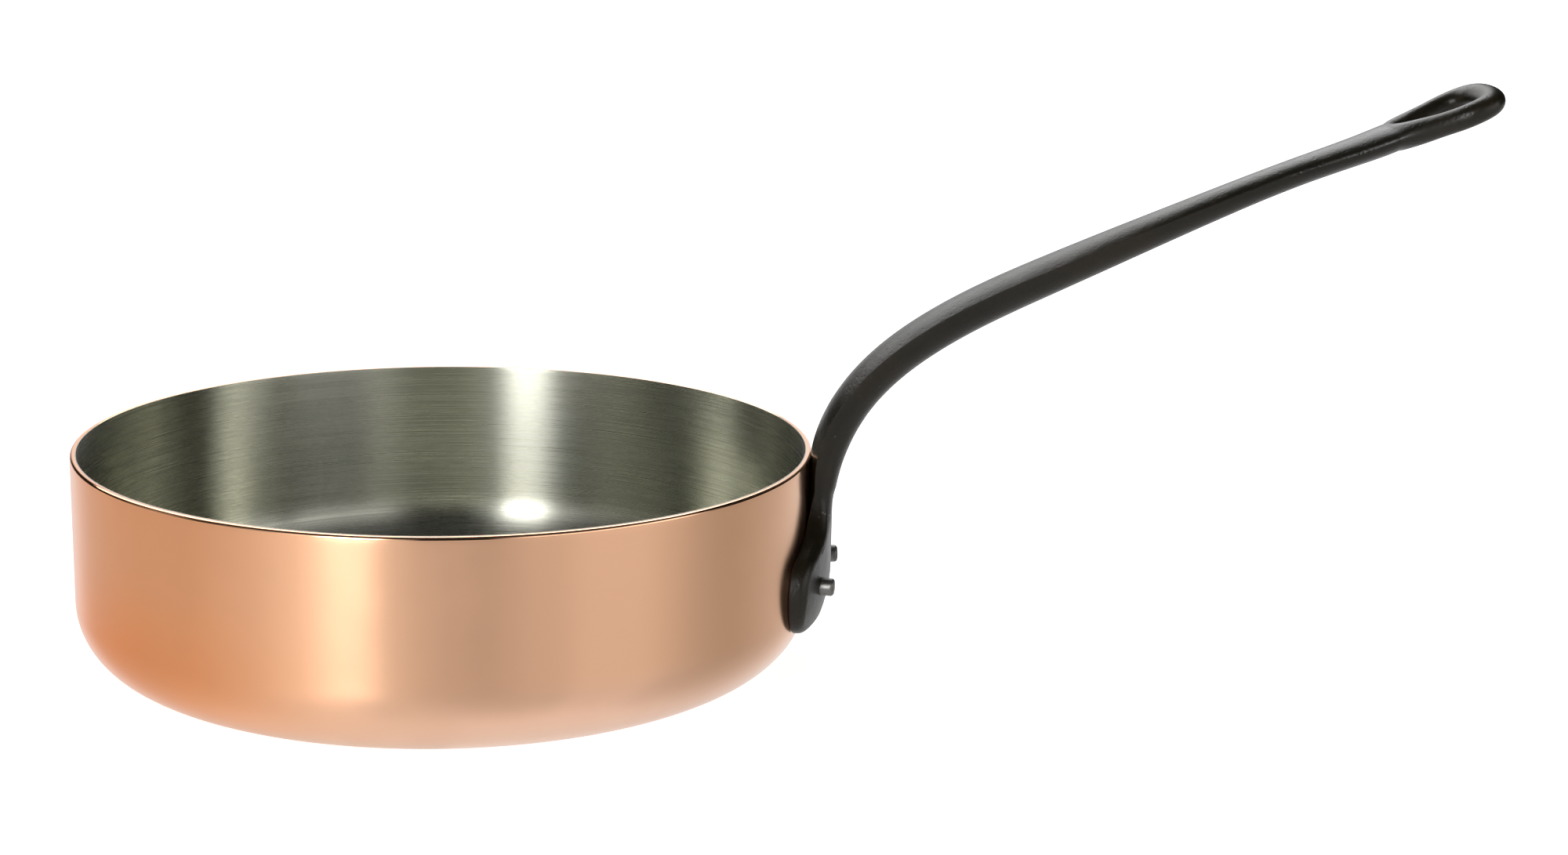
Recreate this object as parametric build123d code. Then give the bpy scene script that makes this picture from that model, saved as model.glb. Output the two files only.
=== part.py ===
from build123d import *
from dataclasses import dataclass
import math
import os

# Straight-sided copper pan with a steel lining and a riveted cast-iron handle.
# Frame: origin at the centre of the flat base, +Z up through the open mouth,
# the handle pointing along +X. All sizes are in millimetres.

# ---------------------------------------------------------------- the pan
PAN_RADIUS = 120.0              # outside of the straight wall
PAN_HEIGHT = 70.0               # base to rim
REFERENCE_HEIGHT = 70.0         # the height that the sizes times HEIGHT_RATIO are stated for
HEIGHT_RATIO = PAN_HEIGHT / REFERENCE_HEIGHT
COPPER_THICKNESS = 1.8
LINING_THICKNESS = 0.2
CORNER_RADIUS = 22.0 * HEIGHT_RATIO         # outside, between the base and the wall
RIM_ROUNDING = 1.0              # outer lip of the copper
LINING_ROUNDING = 0.08          # broken inner edge of the lining at the rim

# ---------------------------------------------------------------- the rivets
RIVET_DEPTH = 40.0 * HEIGHT_RATIO           # below the rim
RIVET_HALF_SPACING = 18.6       # across the handle's axis, at the outside of the wall
RIVET_RADIUS = 2.9
RIVET_FIT = 0.0                 # the shank is upset until it fills its holes
RIVET_PROUD = 3.8               # tail beyond the mounting plate
RIVET_TAIL_ROUNDING = 1.0
HEAD_RADIUS = 6.5
HEAD_HEIGHT = 2.6
RIVET_BITE = 1.0                # the shank starts this far inside its own head

# ---------------------------------------------------------------- the mounting plate
PLATE_HALF_WIDTH = 35.0
PLATE_BOTTOM_DEPTH = 54.2 * HEIGHT_RATIO    # lower edge, below the rim
PLATE_SHOULDER_DEPTH = 30.0 * HEIGHT_RATIO  # where the shoulder turns into the side
PLATE_NECK_DEPTH = 15.0 * HEIGHT_RATIO      # where the outline meets the neck
PLATE_CORNER = 12.0             # lower corners, across
PLATE_CORNER_HEIGHT = 14.0      # lower corners, up the side
PLATE_CORNER_PULL = 9.0         # fullness of the corner curve
PLATE_SIDE_PULL = 6.2           # fullness of the curve from the side to the shoulder
PLATE_TURN_INSET = 8.0          # where the shoulder turns over, in from the side
PLATE_TURN_RISE = 2.0           # and above the shoulder
PLATE_TURN_PULL = 5.0           # fullness of the shoulder before that point
PLATE_FILLET_PULL = 7.0         # and after it, towards the neck
PLATE_FILLET_RISE = 3.0
PLATE_NECK_PULL = 8.0           # fullness of the curve that ends along the neck
PLATE_EDGE_THICKNESS = 5.2
PLATE_CENTRE_THICKNESS = 7.3
PLATE_EDGE_ROUNDING = 2.0
PLATE_HEEL_RADIUS = 45.0        # the outer face curves in towards the lower edge
PLATE_HEEL_DEPTH = 37.6 * HEIGHT_RATIO      # where that curve starts
SEAT_FIT = 0.0                  # the plate beds on the copper
OUTER_EDGE_SHARE = 0.9          # edges beyond this share of the pan's radius are on the outer face

# ---------------------------------------------------------------- the handle
NECK_HALF_WIDTH = 9.5
GRIP_HALF_WIDTH = 10.8
WAIST_HALF_WIDTH = 8.8
BELLY_FULLNESS = 0.66           # 0.55 is an ellipse, 1 is a box
CROWN_HANDLE = 2 / 3            # share of its rise that the crown's curve makes by its first handle
CROWN_EASE = 0.114              # how much less of it on a round section
CROWN_WIDTH = 1 / 3             # share of the half width where the crown flattens
CROWN_SPREAD = 0.219            # how much more of it on a round section
BEND_REACH = 39.1               # from the wall to the bend between the neck and the grip
BEND_RISE = 41.9                # from the rim to that bend
GRIP_MIDDLE = (0.272, 0.311)    # share of the way from the bend to the loop, out and up
WAIST_START = (0.639, 0.678)
WAIST_END = (0.856, 0.884)
LOOP_REACH = 171.9              # from the wall to the root of the loop
LOOP_RISE = 104.3               # from the rim to the root of the loop
LOOP_SLOPE = 25.0               # degrees above the horizontal
LOOP_LENGTH = 40.9              # centre line of the bar, root to tip
LOOP_HALF_WIDTH = 17.3          # centre line of the bar
LOOP_SHOULDER = 30.5            # how far from the root the loop is widest
LOOP_ROOT_PULL = (0.34, 0.28)    # first handle of the loop's side, as shares of shoulder and half width
LOOP_SIDE_PULL = 0.58           # second handle, as a share of the shoulder
LOOP_TIP_PULL = 0.77            # fullness of the tip, as a share of the half width
BAR_WIDTH = 8.0
BAR_THICKNESS = 7.3
BAR_ROOT = 9.0                  # the grip runs this far into the loop
ROOT_SPREAD = 1.6               # half width added to the waist at the root of the loop
BAR_SPREAD = 2.0                # and where the grip ends inside the loop

ELLIPSE = 0.5523                # Bezier handle length of a quarter ellipse
OVERSHOOT = 30.0                # cutting tools reach this far past the work
ON_AXIS_BASE = (Align.CENTER, Align.CENTER, Align.MIN)


@dataclass(frozen=True)
class Station:
    """One section of the handle: where its centre lies, and its shape."""

    reach: float                # out from the wall
    rise: float                 # up from the rim
    half_width: float
    thickness: float
    crown: float                # how far the top stands above the sides
    roundness: float            # 0 has a crease at the side, 1 is an ellipse

    def centre(self):
        return Vector(PAN_RADIUS + self.reach, 0, PAN_HEIGHT + self.rise)


def pan_profile(radius, bottom, corner, lip):
    """Outside or inside half profile, from the axis at the bottom to the rim."""
    base = Line((0, bottom), (radius - corner, bottom))
    bend = CenterArc((radius - corner, bottom + corner), corner, -90, 90)
    wall = Line((radius, bottom + corner), (radius, PAN_HEIGHT - lip))
    return [base, bend, wall]


def pan_shell(radius, bottom, corner, thickness, outer_lip, inner_lip):
    """Shell of one metal, turned about the Z axis."""
    inside = radius - thickness
    edges = pan_profile(radius, bottom, corner, outer_lip)
    if outer_lip > 0:
        edges.append(CenterArc((radius - outer_lip, PAN_HEIGHT - outer_lip), outer_lip, 0, 90))
    edges.append(Line((radius - outer_lip, PAN_HEIGHT), (inside + inner_lip, PAN_HEIGHT)))
    if inner_lip > 0:
        edges.append(CenterArc((inside + inner_lip, PAN_HEIGHT - inner_lip), inner_lip, 90, 90))
    edges += pan_profile(inside, bottom + thickness, corner - thickness, inner_lip)
    edges.append(Line((0, bottom), (0, bottom + thickness)))
    profile = Plane.XZ * make_face(edges)
    return revolve(profile, Axis.Z, 360)


def rivet_frames():
    """One plane on each rivet's axis: origin on the pan's axis, normal pointing outwards."""
    angle = math.degrees(math.asin(RIVET_HALF_SPACING / PAN_RADIUS))
    level = PAN_HEIGHT - RIVET_DEPTH
    frames = {}
    for name, turn in (("rivet_left", angle), ("rivet_right", -angle)):
        direction = Vector(1, 0, 0).rotate(Axis.Z, turn)
        frames[name] = Plane(origin=(0, 0, level), z_dir=direction)
    return frames


def rivet_bore(frame):
    """The hole that one rivet needs, through the wall and the plate."""
    start = PAN_RADIUS - OVERSHOOT
    hole = Cylinder(RIVET_RADIUS + RIVET_FIT, 2 * OVERSHOOT, align=ON_AXIS_BASE)
    return frame * Pos(0, 0, start) * hole


def plate_face_radius():
    """Radius of the plate's crowned outer face, from its centre and edge thickness."""
    edge_radius = PAN_RADIUS + PLATE_EDGE_THICKNESS
    edge_x = math.sqrt(edge_radius**2 - PLATE_HALF_WIDTH**2)
    drop = PAN_RADIUS + PLATE_CENTRE_THICKNESS - edge_x
    return (PLATE_HALF_WIDTH**2 + drop**2) / (2 * drop)


def plate_outer_at(y):
    """How far out the plate's outer face lies at a distance y from the handle's axis."""
    radius = plate_face_radius()
    return PAN_RADIUS + PLATE_CENTRE_THICKNESS - radius + math.sqrt(radius**2 - y**2)


def rivet_solid(frame):
    """Domed head inside the pan, shank through the wall and plate, tail outside."""
    inside = PAN_RADIUS - COPPER_THICKNESS - LINING_THICKNESS
    turn = math.asin(RIVET_HALF_SPACING / PAN_RADIUS)
    tail_end = plate_outer_at(RIVET_HALF_SPACING) / math.cos(turn) + RIVET_PROUD
    head_base = inside - HEAD_HEIGHT
    dome_radius = (HEAD_RADIUS**2 + HEAD_HEIGHT**2) / (2 * HEAD_HEIGHT)
    shank_start = inside - RIVET_BITE
    shank = Cylinder(RIVET_RADIUS, tail_end - shank_start, align=ON_AXIS_BASE)
    shank = Pos(0, 0, shank_start) * shank
    shank = fillet(shank.edges().sort_by(Axis.Z)[-1], RIVET_TAIL_ROUNDING)
    dome = Pos(0, 0, head_base + dome_radius) * Sphere(dome_radius)
    skirt = Cylinder(HEAD_RADIUS, HEAD_HEIGHT + RIVET_BITE, align=ON_AXIS_BASE)
    head = frame * (dome & Pos(0, 0, head_base) * skirt)
    well = Cylinder(inside, PAN_HEIGHT, align=ON_AXIS_BASE)
    return (head & well) + frame * shank


def plate_outline():
    """The plate seen along the handle's axis: a bell with round lower corners."""
    bottom = PAN_HEIGHT - PLATE_BOTTOM_DEPTH
    shoulder = PAN_HEIGHT - PLATE_SHOULDER_DEPTH
    neck = PAN_HEIGHT - PLATE_NECK_DEPTH
    side = PLATE_HALF_WIDTH
    corner = side - PLATE_CORNER
    flank = bottom + PLATE_CORNER_HEIGHT
    turn_y = side - PLATE_TURN_INSET
    turn_z = shoulder + PLATE_TURN_RISE
    corner_handle = (corner + PLATE_CORNER_PULL, bottom)
    flank_handle = (side, flank - PLATE_CORNER_PULL)
    side_handle = (side, flank + PLATE_SIDE_PULL)
    turn_handle = (turn_y + PLATE_TURN_PULL, shoulder)
    fillet_handle = (turn_y - PLATE_FILLET_PULL, turn_z + PLATE_FILLET_RISE)
    neck_handle = (NECK_HALF_WIDTH, neck - PLATE_NECK_PULL)
    half = [
        Line((0, bottom), (corner, bottom)),
        Bezier((corner, bottom), corner_handle, flank_handle, (side, flank)),
        Bezier((side, flank), side_handle, turn_handle, (turn_y, turn_z)),
        Bezier((turn_y, turn_z), fillet_handle, neck_handle, (NECK_HALF_WIDTH, neck)),
        Line((NECK_HALF_WIDTH, neck), (0, neck)),
        Line((0, neck), (0, bottom)),
    ]
    face = make_face(half)
    return face + mirror(face, Plane.YZ)


def mounting_plate():
    """Plate bent to the wall, with a crowned outer face and eased edges."""
    outline = Plane.YZ.offset(PAN_RADIUS / 2) * plate_outline()
    prism = extrude(outline, PAN_RADIUS)
    radius = plate_face_radius()
    centre = PAN_RADIUS + PLATE_CENTRE_THICKNESS - radius
    foot = PAN_HEIGHT - PLATE_HEEL_DEPTH - PLATE_HEEL_RADIUS
    crown = Cylinder(radius, PAN_HEIGHT - foot, align=ON_AXIS_BASE)
    crown = fillet(crown.edges().filter_by(GeomType.CIRCLE).sort_by(Axis.Z)[0], PLATE_HEEL_RADIUS)
    plate = prism & Pos(centre, 0, foot) * crown
    curved = plate.edges().filter_by(GeomType.BSPLINE)
    outer = curved.filter_by(lambda edge: edge.center().X > OUTER_EDGE_SHARE * PAN_RADIUS)
    return fillet(outer, PLATE_EDGE_ROUNDING)


def section(half_width, thickness, crown, roundness):
    """Closed section of the handle: a crowned top that meets a full belly at the side."""
    top = thickness / 2
    side = top - crown
    shoulder = half_width * (2 + roundness) / 3
    shoulder_rise = side + crown * (CROWN_HANDLE - CROWN_EASE * roundness)
    flat = half_width * (CROWN_WIDTH + CROWN_SPREAD * roundness)
    full = ELLIPSE + (BELLY_FULLNESS - ELLIPSE) * (1 - roundness)
    cheek = side - full * (side + top)
    keel = full * half_width
    edges = []
    for sign in (1, -1):
        edge = (sign * half_width, side)
        edges.append(Bezier(edge, (sign * shoulder, shoulder_rise), (sign * flat, top), (0, top)))
        edges.append(Bezier(edge, (sign * half_width, cheek), (sign * keel, -top), (0, -top)))
    return make_face(edges)


def loop_direction():
    """Unit vector along the loop, away from the pan."""
    angle = math.radians(LOOP_SLOPE)
    return Vector(math.cos(angle), 0, math.sin(angle))


def on_grip(share, half_width, thickness, crown, roundness):
    """Station at a share of the way from the bend to the root of the loop."""
    reach = BEND_REACH + share[0] * (LOOP_REACH - BEND_REACH)
    rise = BEND_RISE + share[1] * (LOOP_RISE - BEND_RISE)
    return Station(reach, rise, half_width, thickness, crown, roundness)


def neck_stations():
    """Sections from inside the plate, up along the wall and over to the bend."""
    neck = NECK_HALF_WIDTH
    grip = GRIP_HALF_WIDTH
    return [
        Station(reach=3.4, rise=-36.0, half_width=neck, thickness=7.4, crown=2.2, roundness=0.0),
        Station(reach=3.7, rise=-18.0, half_width=neck, thickness=7.8, crown=2.2, roundness=0.0),
        Station(reach=5.0, rise=-2.0, half_width=neck, thickness=10.9, crown=2.4, roundness=0.0),
        Station(reach=14.2, rise=19.0, half_width=grip, thickness=12.5, crown=3.0, roundness=0.0),
        Station(BEND_REACH, BEND_RISE, half_width=grip, thickness=12.7, crown=3.2, roundness=0.0),
    ]


def grip_stations():
    """Sections from the grip through the waist into the root of the loop."""
    grip = GRIP_HALF_WIDTH
    waist = WAIST_HALF_WIDTH
    root = waist + ROOT_SPREAD
    end = waist + BAR_SPREAD
    into_loop = loop_direction() * BAR_ROOT
    end_reach = LOOP_REACH + into_loop.X
    end_rise = LOOP_RISE + into_loop.Z
    end_crown = BAR_THICKNESS / 2
    return [
        on_grip(GRIP_MIDDLE, half_width=grip, thickness=12.1, crown=3.2, roundness=0.1),
        on_grip(WAIST_START, half_width=waist, thickness=9.3, crown=3.2, roundness=0.5),
        on_grip(WAIST_END, half_width=waist, thickness=8.4, crown=3.6, roundness=0.8),
        Station(LOOP_REACH, LOOP_RISE, half_width=root, thickness=8.6, crown=4.2, roundness=1.0),
        Station(end_reach, end_rise, end, BAR_THICKNESS, end_crown, roundness=1.0),
    ]


def neck_and_grip():
    """Lofted bar from inside the plate to the root of the loop."""
    stations = neck_stations() + grip_stations()
    centres = [station.centre() for station in stations]
    spine = Spline(centres, tangents=[(0, 0, 1), loop_direction()])
    faces = []
    for station, centre in zip(stations, centres):
        along = spine.tangent_at(spine.param_at_point(centre))
        plane = Plane(origin=centre, x_dir=(0, 1, 0), z_dir=along)
        shape = section(station.half_width, station.thickness, station.crown, station.roundness)
        faces.append(plane * shape)
    return loft(faces)


def hanging_loop():
    """Closed eye of round-edged bar, a teardrop that is widest near its outer end."""
    root = Vector(PAN_RADIUS + LOOP_REACH, 0, PAN_HEIGHT + LOOP_RISE)
    upright = loop_direction().cross(Vector(0, 1, 0))
    lie = Plane(origin=root, x_dir=loop_direction(), z_dir=upright)
    wide = LOOP_HALF_WIDTH
    reach = LOOP_LENGTH
    peak = LOOP_SHOULDER
    root_handle = (peak * LOOP_ROOT_PULL[0], wide * LOOP_ROOT_PULL[1])
    side_handle = (peak * LOOP_SIDE_PULL, wide)
    shoulder_handle = (peak + ELLIPSE * (reach - peak), wide)
    tip_handle = (reach, wide * LOOP_TIP_PULL)
    side = Bezier((0, 0), root_handle, side_handle, (peak, wide))
    tip = Bezier((peak, wide), shoulder_handle, tip_handle, (reach, 0))
    path = Wire([side, tip])
    start = Plane(origin=path @ 0, x_dir=(0, 0, 1), z_dir=path % 0)
    bar = sweep(start * Ellipse(BAR_THICKNESS / 2, BAR_WIDTH / 2), path=path)
    return lie * (bar + mirror(bar, Plane.XZ))


def cast_handle():
    """Plate, neck, grip and loop as one casting, bored for the rivets."""
    body = mounting_plate() + neck_and_grip() + hanging_loop()
    seat = Cylinder(PAN_RADIUS + SEAT_FIT, PAN_HEIGHT + OVERSHOOT, align=ON_AXIS_BASE)
    body -= Pos(0, 0, -OVERSHOOT) * seat
    for frame in rivet_frames().values():
        body -= rivet_bore(frame)
    return body


copper_body = pan_shell(PAN_RADIUS, 0, CORNER_RADIUS, COPPER_THICKNESS, RIM_ROUNDING, 0)
lining = pan_shell(
    PAN_RADIUS - COPPER_THICKNESS,
    COPPER_THICKNESS,
    CORNER_RADIUS - COPPER_THICKNESS,
    LINING_THICKNESS,
    0,
    LINING_ROUNDING,
)
nodes = {}
for rivet_name, rivet_frame in rivet_frames().items():
    copper_body -= rivet_bore(rivet_frame)
    lining -= rivet_bore(rivet_frame)
    nodes[rivet_name] = rivet_solid(rivet_frame)
nodes["copper_body"] = copper_body
nodes["steel_lining"] = lining
nodes["cast_iron_handle"] = cast_handle()

os.makedirs("parts", exist_ok=True)
for node_name, shape in nodes.items():
    export_step(shape, f"parts/{node_name}.step")
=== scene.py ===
import json
import logging
import math
from collections.abc import Callable
from dataclasses import dataclass, field
from enum import Enum

import bmesh
import bpy
import numpy as np
from mathutils import Matrix, Vector


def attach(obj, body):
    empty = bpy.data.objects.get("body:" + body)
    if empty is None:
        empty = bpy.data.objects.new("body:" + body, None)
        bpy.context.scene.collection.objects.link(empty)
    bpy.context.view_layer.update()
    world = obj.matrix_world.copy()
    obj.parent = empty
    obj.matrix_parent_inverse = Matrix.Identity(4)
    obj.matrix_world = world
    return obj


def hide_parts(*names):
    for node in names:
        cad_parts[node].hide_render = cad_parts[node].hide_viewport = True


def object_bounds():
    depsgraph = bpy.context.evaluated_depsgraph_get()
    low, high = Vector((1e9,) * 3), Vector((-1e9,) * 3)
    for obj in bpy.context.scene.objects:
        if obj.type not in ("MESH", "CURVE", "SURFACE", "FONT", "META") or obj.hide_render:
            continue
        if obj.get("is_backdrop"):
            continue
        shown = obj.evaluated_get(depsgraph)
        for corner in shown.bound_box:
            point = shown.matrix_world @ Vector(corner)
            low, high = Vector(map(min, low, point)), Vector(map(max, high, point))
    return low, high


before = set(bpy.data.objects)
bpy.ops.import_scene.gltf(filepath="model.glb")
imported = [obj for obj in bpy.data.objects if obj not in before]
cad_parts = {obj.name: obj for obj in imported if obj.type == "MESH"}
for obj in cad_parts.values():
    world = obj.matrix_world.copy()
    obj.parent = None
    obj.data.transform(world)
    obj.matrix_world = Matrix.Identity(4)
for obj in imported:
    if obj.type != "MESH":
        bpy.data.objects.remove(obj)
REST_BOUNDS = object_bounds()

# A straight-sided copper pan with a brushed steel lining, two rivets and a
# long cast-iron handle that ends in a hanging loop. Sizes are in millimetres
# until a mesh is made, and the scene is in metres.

logging.basicConfig(level=logging.INFO, format="%(name)s: %(message)s")
log = logging.getLogger("copper_pan")

MM = 0.001
ELLIPSE = 0.5523                # Bezier handle length of a quarter ellipse
TOP_PULLS = (0.219, 0.114)      # what makes the top of a full round section an ellipse
TOP_CROWDING = 1.7              # how closely the top's columns crowd at the crease
BELLY_CROWDING = 1.35
CLEARANCE = 0.03                # air between the iron and the copper
PROFILE_LAYER = "along_profile"

Socket = bpy.types.NodeSocket
Value = float | tuple | Socket


# ------------------------------------------------------------------ numbers
def cubic_weights(t: np.ndarray) -> tuple[np.ndarray, ...]:
    """Weights of a cubic's four points: (1-t)^3, 3t(1-t)^2, 3t^2(1-t), t^3."""
    u = 1.0 - t
    return u**3, 3 * t * u**2, 3 * t**2 * u, t**3


def weighted_sum(weights: tuple, values: tuple) -> np.ndarray:
    """Sum of each value times its weight."""
    return sum(w * v for w, v in zip(weights, values))


def cubic(points: list, t: np.ndarray) -> np.ndarray:
    """Points on a cubic Bezier curve, the weighted sum of its control points.

    Args:
        points: Four control points of any dimension.
        t: Parameters from 0 to 1.

    Returns:
        One row for each parameter.
    """
    return np.stack(cubic_weights(t), axis=-1) @ np.asarray(points, float)


def clamped_spline(
    x: np.ndarray, y: np.ndarray, ends: tuple
) -> Callable[[np.ndarray], np.ndarray]:
    """Smooth curve through given values, with second derivatives solved for.

    Between two knots the value is a cubic whose second derivative runs in a
    straight line from one knot's value to the next.

    Args:
        x: Knots, rising.
        y: One value or one row of values at each knot.
        ends: First derivatives at both ends.

    Returns:
        A function from parameters to values.
    """
    y = np.asarray(y, float)
    flat = y.reshape(len(x), -1)
    h = np.diff(x)
    n = len(x)
    system = np.zeros((n, n))
    right = np.zeros_like(flat)
    slope = np.diff(flat, axis=0) / h[:, None]
    inner = np.arange(1, n - 1)
    system[inner, inner - 1] = h[:-1]
    system[inner, inner] = 2 * (h[:-1] + h[1:])
    system[inner, inner + 1] = h[1:]
    right[1:-1] = 6 * np.diff(slope, axis=0)
    system[0, :2] = (2 * h[0], h[0])
    system[-1, -2:] = (h[-1], 2 * h[-1])
    right[0] = 6 * (slope[0] - np.ravel(ends[0]))
    right[-1] = 6 * (np.ravel(ends[1]) - slope[-1])
    bend = np.linalg.solve(system, right)

    def value(at: np.ndarray) -> np.ndarray:
        """Values at the parameters, from the cubic of the span each is in."""
        at = np.atleast_1d(np.asarray(at, float))
        k = np.clip(np.searchsorted(x, at) - 1, 0, n - 2)
        a = ((x[k + 1] - at) / h[k])[:, None]
        b = ((at - x[k]) / h[k])[:, None]
        width = h[k][:, None] ** 2 / 6
        out = a * flat[k] + b * flat[k + 1]
        out += ((a**3 - a) * bend[k] + (b**3 - b) * bend[k + 1]) * width
        return out.reshape((len(at),) + y.shape[1:])

    return value


def smoothstep(low: float, high: float, x: np.ndarray) -> np.ndarray:
    """Eased ramp 3t^2 - 2t^3 from 0 at low to 1 at high."""
    t = np.clip((x - low) / (high - low), 0, 1)
    return t * t * (3 - 2 * t)


def crowded(count: int, power: float) -> np.ndarray:
    """Parameters from 0 to 1 that crowd together near 1: 1 - (1-t)^power."""
    return 1 - (1 - np.linspace(0, 1, count)) ** power


def running_length(line: np.ndarray) -> np.ndarray:
    """Length along a line of points, 0 at the first."""
    return np.concatenate([[0], np.cumsum(np.hypot(*np.diff(line, axis=0).T))])


# ------------------------------------------------------------------- meshes
@dataclass
class Shell:
    """Points and four-sided faces of a closed surface, gathered sheet by sheet."""

    points: list = field(default_factory=list)
    faces: list = field(default_factory=list)
    count: int = 0

    def add_grid(self, grid: np.ndarray, flip: bool = False) -> None:
        """Adds a grid of points as rows of quads.

        A quad joins columns j and j+1 of rows i and i+1.

        Args:
            grid: Array of rows by columns by three.
            flip: Whether the faces are wound the other way.
        """
        rows, columns = grid.shape[:2]
        index = np.arange(rows * columns).reshape(rows, columns) + self.count
        a, b = index[:-1, :-1], index[:-1, 1:]
        c, d = index[1:, 1:], index[1:, :-1]
        order = [a, d, c, b] if flip else [a, b, c, d]
        self.points.append(grid.reshape(-1, 3))
        self.faces.append(np.stack(order, axis=-1).reshape(-1, 4))
        self.count += rows * columns

    def welded(self, grain: float = 1e-4) -> tuple[np.ndarray, list]:
        """Merges points that round to the same grain, and drops doubled corners.

        Args:
            grain: Size of the rounding, in millimetres.

        Returns:
            The points and the faces' corner lists.
        """
        points = np.vstack(self.points)
        faces = np.vstack(self.faces)
        keys = np.round(points / grain).astype(np.int64)
        _, first, inverse = np.unique(
            keys, axis=0, return_index=True, return_inverse=True
        )
        kept = []
        for corner in inverse.ravel()[faces].tolist():
            ring = [c for i, c in enumerate(corner) if c != corner[i - 1]]
            if len(ring) > 2 and len(set(ring)) == len(ring):
                kept.append(ring)
        return points[first], kept


def make_object(
    name: str, points: np.ndarray, faces: list, material: bpy.types.Material
) -> bpy.types.Object:
    """Mesh object at the origin, in metres, smooth shaded, with outward faces.

    Args:
        name: The piece's name.
        points: Points in millimetres.
        faces: Corner lists.
        material: Its only material.

    Returns:
        The linked object.
    """
    mesh = bpy.data.meshes.new(name)
    mesh.from_pydata((points * MM).tolist(), [], faces)
    mesh.update()
    work = bmesh.new()
    work.from_mesh(mesh)
    bmesh.ops.recalc_face_normals(work, faces=work.faces)
    work.to_mesh(mesh)
    work.free()
    mesh.polygons.foreach_set("use_smooth", np.ones(len(mesh.polygons), bool))
    mesh.materials.append(material)
    obj = bpy.data.objects.new(name, mesh)
    bpy.context.scene.collection.objects.link(obj)
    log.info("%s: %d points, %d faces", name, len(points), len(faces))
    return obj


def capped_rings(grid: np.ndarray, ends: np.ndarray) -> tuple[np.ndarray, list]:
    """Closed surface of rings, with a pole at each end.

    A quad joins neighbours on rings i and i+1, and a fan of triangles joins
    the first and the last ring to their poles.

    Args:
        grid: Array of rings by points round them by three.
        ends: The two poles.

    Returns:
        The points, poles last, and the faces' corner lists.
    """
    rings, segments = grid.shape[:2]
    index = np.arange(rings * segments).reshape(rings, segments)
    ahead = np.roll(index, -1, axis=1)
    quads = np.stack([index[:-1], ahead[:-1], ahead[1:], index[1:]], axis=-1)
    low, high = np.full(segments, index.size), np.full(segments, index.size + 1)
    first = np.stack([low, ahead[0], index[0]], axis=-1)
    last = np.stack([high, index[-1], ahead[-1]], axis=-1)
    faces = quads.reshape(-1, 4).tolist() + first.tolist() + last.tolist()
    return np.vstack([grid.reshape(-1, 3), ends]), faces


def store_length(obj: bpy.types.Object, lengths: np.ndarray, rows: np.ndarray) -> None:
    """Stores how far along the profile each point is, in metres from the axis.

    Args:
        obj: The turned piece.
        lengths: Length along the profile at each of its rows, in millimetres.
        rows: The profile row of each mesh point.
    """
    layer = obj.data.attributes.new(PROFILE_LAYER, "FLOAT", "POINT")
    values = lengths[rows] * MM
    layer.data.foreach_set("value", values.astype(np.float32))


def turned_shell(
    name: str, profile: np.ndarray, segments: int, material: bpy.types.Material
) -> bpy.types.Object:
    """Closed surface turned about Z.

    Each profile point (r, z) becomes a ring r cos a, r sin a, z, and the two
    ends on the axis become poles.

    Args:
        name: The piece's name.
        profile: Rows of radius and height that start and end on the axis.
        segments: Points round the ring.
        material: Its material.

    Returns:
        The object.
    """
    angle = np.arange(segments) * 2 * np.pi / segments
    rings = profile[1:-1]
    grid = np.stack(
        [
            rings[:, :1] * np.cos(angle),
            rings[:, :1] * np.sin(angle),
            np.repeat(rings[:, 1:], segments, axis=1),
        ],
        axis=-1,
    )
    ends = np.array([[0, 0, profile[0, 1]], [0, 0, profile[-1, 1]]])
    obj = make_object(name, *capped_rings(grid, ends), material)
    last = len(profile) - 1
    rows = np.concatenate([np.repeat(np.arange(1, last), segments), [0, last]])
    store_length(obj, running_length(profile), rows)
    return obj


# ------------------------------------------------------------------ shaders
class Ray(Enum):
    """Kinds of ray that a backdrop shows itself to as plain white."""

    CAMERA = "Is Camera Ray"
    GLOSSY = "Is Glossy Ray"
    TRANSMISSION = "Is Transmission Ray"


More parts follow.
